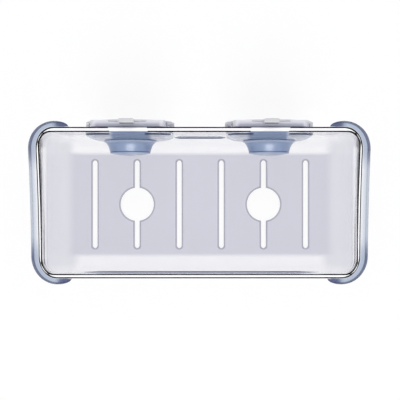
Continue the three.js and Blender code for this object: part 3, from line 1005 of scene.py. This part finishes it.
def on_lip(place):
    return lip_reach(place) >= LIP_ROOT


def lip_share(place):
    """Rises from 0 at the root of the lips to 1."""
    return lip_reach(place) / LIP_TINT


def lip_corner_share(place):
    """1 where the lips turn round the corners."""
    return on_lip(place) * smooth((abs(place.y) - rim_y + 2 * corner_y) / corner_y)


def lip_tip_share(place):
    """1 along the straight tips of the lips, on the front and back walls."""
    return on_lip(place) * smooth((rim_x - corner_x + TIP_START - abs(place.x)) / TIP_FADE)


def lip_edge_share(place):
    """Share of a painted shade line: 1 along the lips' lower outer edge at the corners, and less between
    them.
    """
    edge = smooth((rim_height(place.y) - place.z - LIP_EDGE_DROP) / LIP_EDGE_FADE)
    return on_lip(place) * edge * (LIP_EDGE_SHARE + (1 - LIP_EDGE_SHARE) * lip_corner_share(place))


def rim_line_share(place):
    """Share of a painted shade line: 1 on the rounded edges on both sides of the rim, less along the middle
    of the ends.
    """
    if rim_height(place.y) - place.z > RIM_LINE_DEPTH:
        return 0.0
    at_end = smooth((abs(place.x) - rim_x + FOOT_CORNER) / FOOT_CORNER)
    middle = smooth((rim_y - abs(place.y)) / FOOT_CORNER - 1)
    loss = OUTER_END_LOSS if abs(place.x) > rim_x - RIM_END_WALL / 2 else INNER_END_LOSS
    return 1.0 - loss * at_end * middle


def drain_share(place):
    """Share of painted shade: 1 inside the slots and holes of the floor, 0 on its two faces."""
    on_floor = abs(place.x) < foot_x - FOOT_CORNER and abs(place.y) < foot_y
    return float(on_floor and DRAIN_SKIN < place.z < FLOOR - DRAIN_SKIN)


def paint(piece, rule):
    """Stores a share from 0 to 1 at each point of a piece, for its material to read."""
    layer = piece.data.attributes.new(rule.__name__, "FLOAT", "POINT")
    for vertex, cell in zip(piece.data.vertices, layer.data):
        cell.value = clamp(rule(vertex.co))


def model_tub():
    tub = tub_shell()
    add_lips(tub)
    sweep_rim(tub)
    tidy(tub)
    first = -(SLOT_COUNT - 1) / 2 * SLOT_PITCH
    cut(tub, drain_cutter("slots", first, SLOT_WIDTH / 2, SLOT_LENGTH / 2, SLOT_COUNT, SLOT_PITCH))
    first_hole = first + SLOT_PITCH
    cut(tub, drain_cutter("holes", first_hole, HOLE_RADIUS, HOLE_RADIUS, HOLE_COUNT, HOLE_PITCH))
    wall_back = tile - rim_y
    bores = axis_cutter(NECK_RADIUS + FIT, wall_back - WALL, wall_back + 2 * WALL)
    repeat(bores, len(SIDES), mount_pitch)
    cut(tub, bores)
    tidy(tub)
    apply_modifier(tub, "WEIGHTED_NORMAL", weight=100, keep_sharp=True)
    for rule in (lip_share, lip_corner_share, lip_tip_share, lip_edge_share, rim_line_share, drain_share):
        paint(tub, rule)
    return tub


def model_rib(name, length, face, height, rise):
    """Low rib along the inner face of the back or front wall."""
    rib = fresh(name, bpy.ops.mesh.primitive_cube_add, size=1, location=(0, face, height))
    bpy.ops.transform.resize(value=(length, 2 * rise, RIB_HEIGHT))
    bpy.ops.object.transform_apply(location=True, rotation=True, scale=True)
    straight = length * (0.5 - RIB_TAPER)
    edit("VERT")
    slice_at((-straight, straight), SIDEWAYS)
    done()
    for vertex in rib.data.vertices:
        if abs(vertex.co.x) > straight + HAIR:
            vertex.co.y = face + (vertex.co.y - face) * RIB_TIP
    apply_modifier(rib, "BEVEL", width=RIB_ROUND, segments=RIB_STEPS)
    return tidy(rib)


# Mounts
def model_cup():
    """Middle of the cup, with the hub that holds the post's head."""
    seal = cup_radius - SEAL_WIDTH
    radius = cup_radius - CUP_SHOULDER - CUP_SEAM
    dish = bezier(((0, CUP_DISH), (seal / 2, CUP_DISH), (seal, 0)))
    swell = bezier(
        ((HUB_RADIUS + HUB_FILLET, CUP_WEB), (HUB_RADIUS, CUP_WEB), (HUB_RADIUS, CUP_WEB + HUB_SKIN))
    )
    outline = [
        *dish,
        (radius, 0),
        (radius, CUP_EDGE),
        (radius - CUP_EDGE, CUP_WEB),
        *swell,
        (HUB_RADIUS, HUB_FRONT),
        (POST_BORE, HUB_FRONT),
        (POST_BORE, POCKET_FRONT),
        (POCKET_RADIUS, POCKET_FRONT),
        (POCKET_RADIUS, POCKET_BACK),
        (0, POCKET_BACK),
    ]
    return turned("left_cup", softened(outline, EDGE_ROUND))


def model_pull_tab():
    height = cup_high.z - mount_z - TAB_FOOT
    tab = fresh(
        "pull_tab",
        bpy.ops.mesh.primitive_cube_add,
        size=1,
        location=(mount_x, tile - (TAB_BACK + TAB_FRONT) / 2, mount_z + TAB_FOOT + height / 2),
        scale=(TAB_WIDTH, TAB_FRONT - TAB_BACK, height),
    )
    bpy.ops.object.transform_apply(location=True, scale=True)
    apply_modifier(tab, "BEVEL", width=TAB_ROUND, segments=TAB_STEPS, limit_method="ANGLE")
    return tidy(tab)


def model_cup_rim():
    """Edge ring of the cup, thicker on both sides of the plate, with the pull tab on top."""
    inner = cup_radius - CUP_SHOULDER
    middle = cup_radius - CUP_SHOULDER / 2
    outline = [
        (middle, 0),
        (cup_radius, 0),
        (cup_radius, CUP_EDGE),
        (middle, CUP_WEB),
        (inner, CUP_WEB),
        (inner, 0),
        (middle, 0),
    ]
    rim = turned("left_cup_rim", softened(outline, EDGE_ROUND))
    for vertex in rim.data.vertices:
        past = abs(vertex.co.x - mount_x) - plate_half - FIT
        if tile - vertex.co.y > CUP_EDGE / 2:
            vertex.co.y -= EAR_LIFT * smooth(past / EAR_RAMP)
    cut(rim, model_pull_tab(), "UNION")
    return tidy(rim)


def tray_block(name, half, top, corner, rows):
    """Upright rounded block on the left mount, from rows of station and inset."""
    start, inset = rows[0]
    piece = flat_sheet(name, 2 * (half - inset), 2 * (top - inset), corner - inset)
    bpy.ops.transform.translate(value=(0, 0, start))
    pull([(station, half - inset, inset - top, top - inset) for station, inset in rows])
    done()
    tidy(piece)
    piece.rotation_euler.x = math.pi / 2
    piece.location = (mount_x, tile, mount_z)
    bpy.ops.object.transform_apply(location=True, rotation=True)
    return piece


def rounded_rows(back, front, radius):
    """Rows of station and inset for a block with both its edges rounded."""
    turns = quarter(ROUND_STEPS)
    rows = [(back + radius * (1 - math.cos(turn)), radius * (1 - math.sin(turn))) for turn in turns]
    rows += [(front - radius * (1 - math.sin(turn)), radius * (1 - math.cos(turn))) for turn in turns]
    return rows


def model_plate():
    """Tray over the cup, with feet beside it at the corners, and a neck through the wall."""
    top = (plate_high.z - plate_low.z) / 2
    foot = tile - plate_high.y
    cup_front = CUP_WEB + FIT
    front = cup_front + PLATE_DEPTH
    web_back = front - PLATE_WEB
    neck_front = tile - plate_low.y
    neck_back = neck_front - NECK_WEB
    neck_inner = NECK_RADIUS - NECK_WALL
    corner = SKIRT_CORNER + SKIRT_WALL
    bead = bell_foot - FIT - WALL - FIT
    plate = tray_block("left_plate", plate_half, top, corner, rounded_rows(foot, bead, EDGE_ROUND))
    hollows = (
        ("recess", PLATE_BEAD, front, 2 * bead),
        ("hollow", SKIRT_WALL, -foot, web_back),
    )
    for name, wall, start, end in hollows:
        rows = [(start, 0.0), (end, 0.0)]
        cut(plate, tray_block(name, plate_half - wall, top - wall, corner - wall, rows))
    cut(plate, axis_cutter(cup_radius + 2 * FIT, -foot, cup_front))
    cut(plate, axis_cutter(NECK_RADIUS - NECK_WALL / 2, 0.0, 2 * front))
    outline = [
        (POST_BORE, neck_back),
        (neck_inner, neck_back),
        (neck_inner, web_back),
        (NECK_RADIUS, web_back),
        (NECK_RADIUS, neck_front),
        (POST_BORE, neck_front),
        (POST_BORE, neck_back),
    ]
    cut(plate, turned("neck", softened(outline, EDGE_ROUND / 2)), "UNION")
    return tidy(plate)


def square_up(piece, narrow, wide):
    """Pushes a turned piece out to a soft square, the more the wider it is."""
    for vertex in piece.data.vertices:
        across = vertex.co.x - mount_x
        up = vertex.co.z - mount_z
        reach = math.hypot(across, up)
        power = 2 + (BELL_SQUARENESS - 2) * clamp((reach - narrow) / (wide - narrow))
        swell = reach / (abs(across) ** power + abs(up) ** power) ** (1 / power)
        vertex.co.x = mount_x + across * swell
        vertex.co.z = mount_z + up * swell


def model_bell():
    """Domed cover with a soft-square foot and a flat round front for the knob."""
    half = (bell_high.x - bell_low.x) / 2
    inner_foot = half - BELL_FOOT_WALL
    flat_edge = knob_radius + FIT
    front = tile - bell_low.y
    back = front - BELL_WEB
    outside = bezier(
        ((half, bell_foot + BELL_EDGE), ((half + flat_edge) / 2, front), (flat_edge, front))
    )
    inside = bezier(
        ((NUT_OUTER, back), ((inner_foot + flat_edge) / 2, back), (inner_foot, bell_foot))
    )
    outline = [
        ((inner_foot + half) / 2, bell_foot),
        (half, bell_foot),
        *outside,
        (BELL_BORE, front),
        (BELL_BORE, back),
        *inside,
        ((inner_foot + half) / 2, bell_foot),
    ]
    bell = turned("left_bell", softened(outline, EDGE_ROUND))
    square_up(bell, flat_edge, half)
    return tidy(bell)


def model_knob():
    """Trumpet-shaped knob with concave flanks, hollow in front."""
    back = tile - knob_high.y
    front = tile - knob_low.y
    chamber = cap_radius - KNOB_WALL
    start = back + KNOB_EDGE
    flank = bezier(
        (
            (knob_radius, start),
            ((knob_radius + cap_radius) / 2, start + KNOB_EDGE),
            (cap_radius + KNOB_WALL / 2, (back + front) / 2),
            (cap_radius, front),
        )
    )
    outline = [
        ((knob_radius + KNOB_BORE) / 2, back),
        (knob_radius, back),
        *flank,
        (chamber, front),
        (chamber, back + KNOB_WEB),
        (KNOB_BORE, back + KNOB_WEB),
        (KNOB_BORE, back),
        ((knob_radius + KNOB_BORE) / 2, back),
    ]
    return turned("left_trumpet_knob", softened(outline, EDGE_ROUND))


def model_cap():
    """Slightly domed front of the knob, with a plug that sits in it."""
    plug_outer = cap_radius - KNOB_WALL - FIT
    plug_inner = plug_outer - CAP_PLUG_WALL
    plug_back = tile - cap_high.y
    back = plug_back + CAP_PLUG
    edge = back + CAP_EDGE
    rise = tile - cap_low.y - edge

    def dome(distance, thickness):
        return edge - thickness + rise * (1 - (distance / cap_radius) ** 2)

    shares = [step / CURVE_STEPS for step in range(CURVE_STEPS + 1)]
    outline = [
        *[(share * plug_inner, dome(share * plug_inner, CAP_WALL)) for share in shares],
        (plug_inner, plug_back),
        (plug_outer, plug_back),
        (plug_outer, back),
        (cap_radius, back),
        *[((1 - share) * cap_radius, dome((1 - share) * cap_radius, 0.0)) for share in shares],
    ]
    return turned("left_cap", softened(outline, EDGE_ROUND))


def model_spring():
    """Wire coil round the post, screwed up from one round section."""
    spring = fresh(
        "left_spring", bpy.ops.mesh.primitive_circle_add, vertices=CURVE_STEPS, radius=SPRING_WIRE / 2
    )
    edit("VERT")
    bpy.ops.transform.translate(value=(SPRING_RADIUS, 0, 0))
    done()
    spring.location = (mount_x, spring_low.y + SPRING_WIRE / 2, mount_z)
    steps = int(TURN_STEPS * SPRING_TURNS / 2)
    apply_modifier(
        spring,
        "SCREW",
        axis="Y",
        angle=math.tau * SPRING_TURNS,
        screw_offset=spring_high.y - spring_low.y - SPRING_WIRE,
        steps=steps,
        render_steps=steps,
    )
    bpy.ops.object.transform_apply(location=True)
    edit("VERT")
    bpy.ops.mesh.select_non_manifold()
    bpy.ops.mesh.fill_holes(sides=0)
    done()
    return tidy(spring)


# The object
def cover(piece, material):
    piece.data.materials.clear()
    piece.data.materials.append(material)


def finish_piece(piece, slot, body, *nodes):
    if body:
        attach(piece, body)
    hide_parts(*nodes)


def model_pair(model):
    """The left piece and its twin on the right."""
    left = model()
    return left, twin(left, left.name.replace("left", "right"))


tub = model_tub()
finish_piece(tub, "clear_plastic", "basket", "basket")

wall_face = rim_y - WALL
back_level = BACK_CREASE - BACK_RIB_DEPTH
front_level = FRONT_CREASE - FRONT_RIB_DEPTH
# Dark ribs: painted shade lines along the creases of the back and front walls.
wall_ribs = (
    ("back_rib", BACK_RIB_LENGTH, wall_face, back_level, BACK_RIB_RISE),
    ("front_rib", FRONT_RIB_LENGTH, -wall_face, front_level, FRONT_RIB_RISE),
)
for rib_sizes in wall_ribs:
    rib = model_rib(*rib_sizes)
    cover(rib, rib_plastic)
    finish_piece(rib, "clear_plastic", "basket", "basket")

mount_models = (
    (model_plate, "pressure_plate", pale_plate, "frosted_plastic", None),
    (model_bell, "bell_cover", frosted_plastic, "frosted_plastic", None),
    (model_knob, "knob", blue_plastic, "blue_plastic", "knob"),
    (model_cap, "knob_cap", blue_plastic, "blue_plastic", "knob"),
    (model_cup_rim, "suction_cup", soft_vinyl, "soft_vinyl", None),
)
for model, node, material, slot, carrier in mount_models:
    for side, piece in zip(SIDES, model_pair(model)):
        body = f"{side}_{carrier}" if carrier else "basket"
        cover(piece, material)
        finish_piece(piece, slot, body, f"{side}_{node}")

for side, x, cup in zip(SIDES, mount_places, model_pair(model_cup)):
    cover(cup, soft_vinyl)
    finish_piece(cup, "soft_vinyl", None, f"{side}_suction_cup")
    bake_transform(cup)

for side, x, spring in zip(SIDES, mount_places, model_pair(model_spring)):
    cover(spring, steel)
    finish_piece(spring, "steel", "basket", f"{side}_return_spring")
    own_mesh(spring)

inner_finishes = {
    "wall_gasket": pale_foam,
    "ring_nut": nut_plastic,
    "cam_ring": white_plastic,
    "cup_post": white_plastic,
    "cross_pin": steel,
}
for side in SIDES:
    for node, material in inner_finishes.items():
        cover(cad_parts[f"{side}_{node}"], material)


# Studio
def background_seen(tree):
    """1 for the rays that show the white background, straight or in gloss and clear plastic."""
    rays = add_node(tree, "LightPath").outputs
    seen = rays["Is Camera Ray"]
    for kind in ("Is Transmission Ray", "Is Glossy Ray"):
        seen = add_node(tree, "Math", {0: seen, 1: rays[kind]}, operation="MAXIMUM").outputs["Value"]
    return seen


def studio_floor():
    """White floor that keeps the object's shadow."""
    place = (0, 0, -STUDIO_DROP)
    floor = fresh("studio_floor", bpy.ops.mesh.primitive_plane_add, size=STUDIO_SIZE, location=place)
    material = bpy.data.materials.new("white floor")
    material.use_nodes = True
    tree = material.node_tree
    tree.nodes.remove(tree.nodes["Principled BSDF"])
    matt = add_node(tree, "BsdfDiffuse", {"Color": STUDIO_PALE}).outputs["BSDF"]
    glow = add_node(tree, "Emission", {"Color": WHITE}).outputs["Emission"]
    shown = add_node(tree, "MixShader", {"Fac": STUDIO_GLOW, 1: matt, 2: glow}).outputs["Shader"]
    mix = add_node(tree, "MixShader", {"Fac": background_seen(tree), 1: matt, 2: shown})
    tree.links.new(mix.outputs["Shader"], tree.nodes["Material Output"].inputs["Surface"])
    floor.data.materials.append(material)


def studio_world():
    """Soft light from above, in front of a white background."""
    world = bpy.data.worlds.new("studio")
    bpy.context.scene.world = world
    world.use_nodes = True
    tree = world.node_tree
    place = add_node(tree, "TexCoord").outputs["Generated"]
    height = add_node(tree, "SeparateXYZ", {"Vector": place}).outputs["Z"]
    ramp = add_node(tree, "ValToRGB", {"Fac": height})
    for element, (position, colour) in zip(ramp.color_ramp.elements, SKY):
        element.position = position
        element.color = colour
    sky = mixed(tree, background_seen(tree), ramp.outputs["Color"], WHITE)
    tree.links.new(sky, tree.nodes["Background"].inputs["Color"])


def soft_lamp(name, place, power):
    data = bpy.data.lights.new(name, "AREA")
    data.shape = "DISK"
    data.size = LAMP_SIZE
    data.energy = power
    lamp = bpy.data.objects.new(name, data)
    bpy.context.collection.objects.link(lamp)
    lamp.location = place
    lamp.rotation_euler = (Vector(LAMP_AIM) - Vector(place)).to_track_quat("-Z", "Y").to_euler()


def photo_camera():
    data = bpy.data.cameras.new("overhead")
    data.lens = CAMERA_LENS
    data.sensor_width = CAMERA_SENSOR
    data.shift_x, data.shift_y = CAMERA_SHIFT
    camera = bpy.data.objects.new("overhead", data)
    bpy.context.collection.objects.link(camera)
    camera.location = CAMERA_PLACE
    bpy.context.scene.camera = camera


studio_floor()
studio_world()
for lamp_name, lamp_place, lamp_power in LAMPS:
    soft_lamp(lamp_name, lamp_place, lamp_power)
photo_camera()
bpy.context.scene.view_settings.view_transform = "Standard"
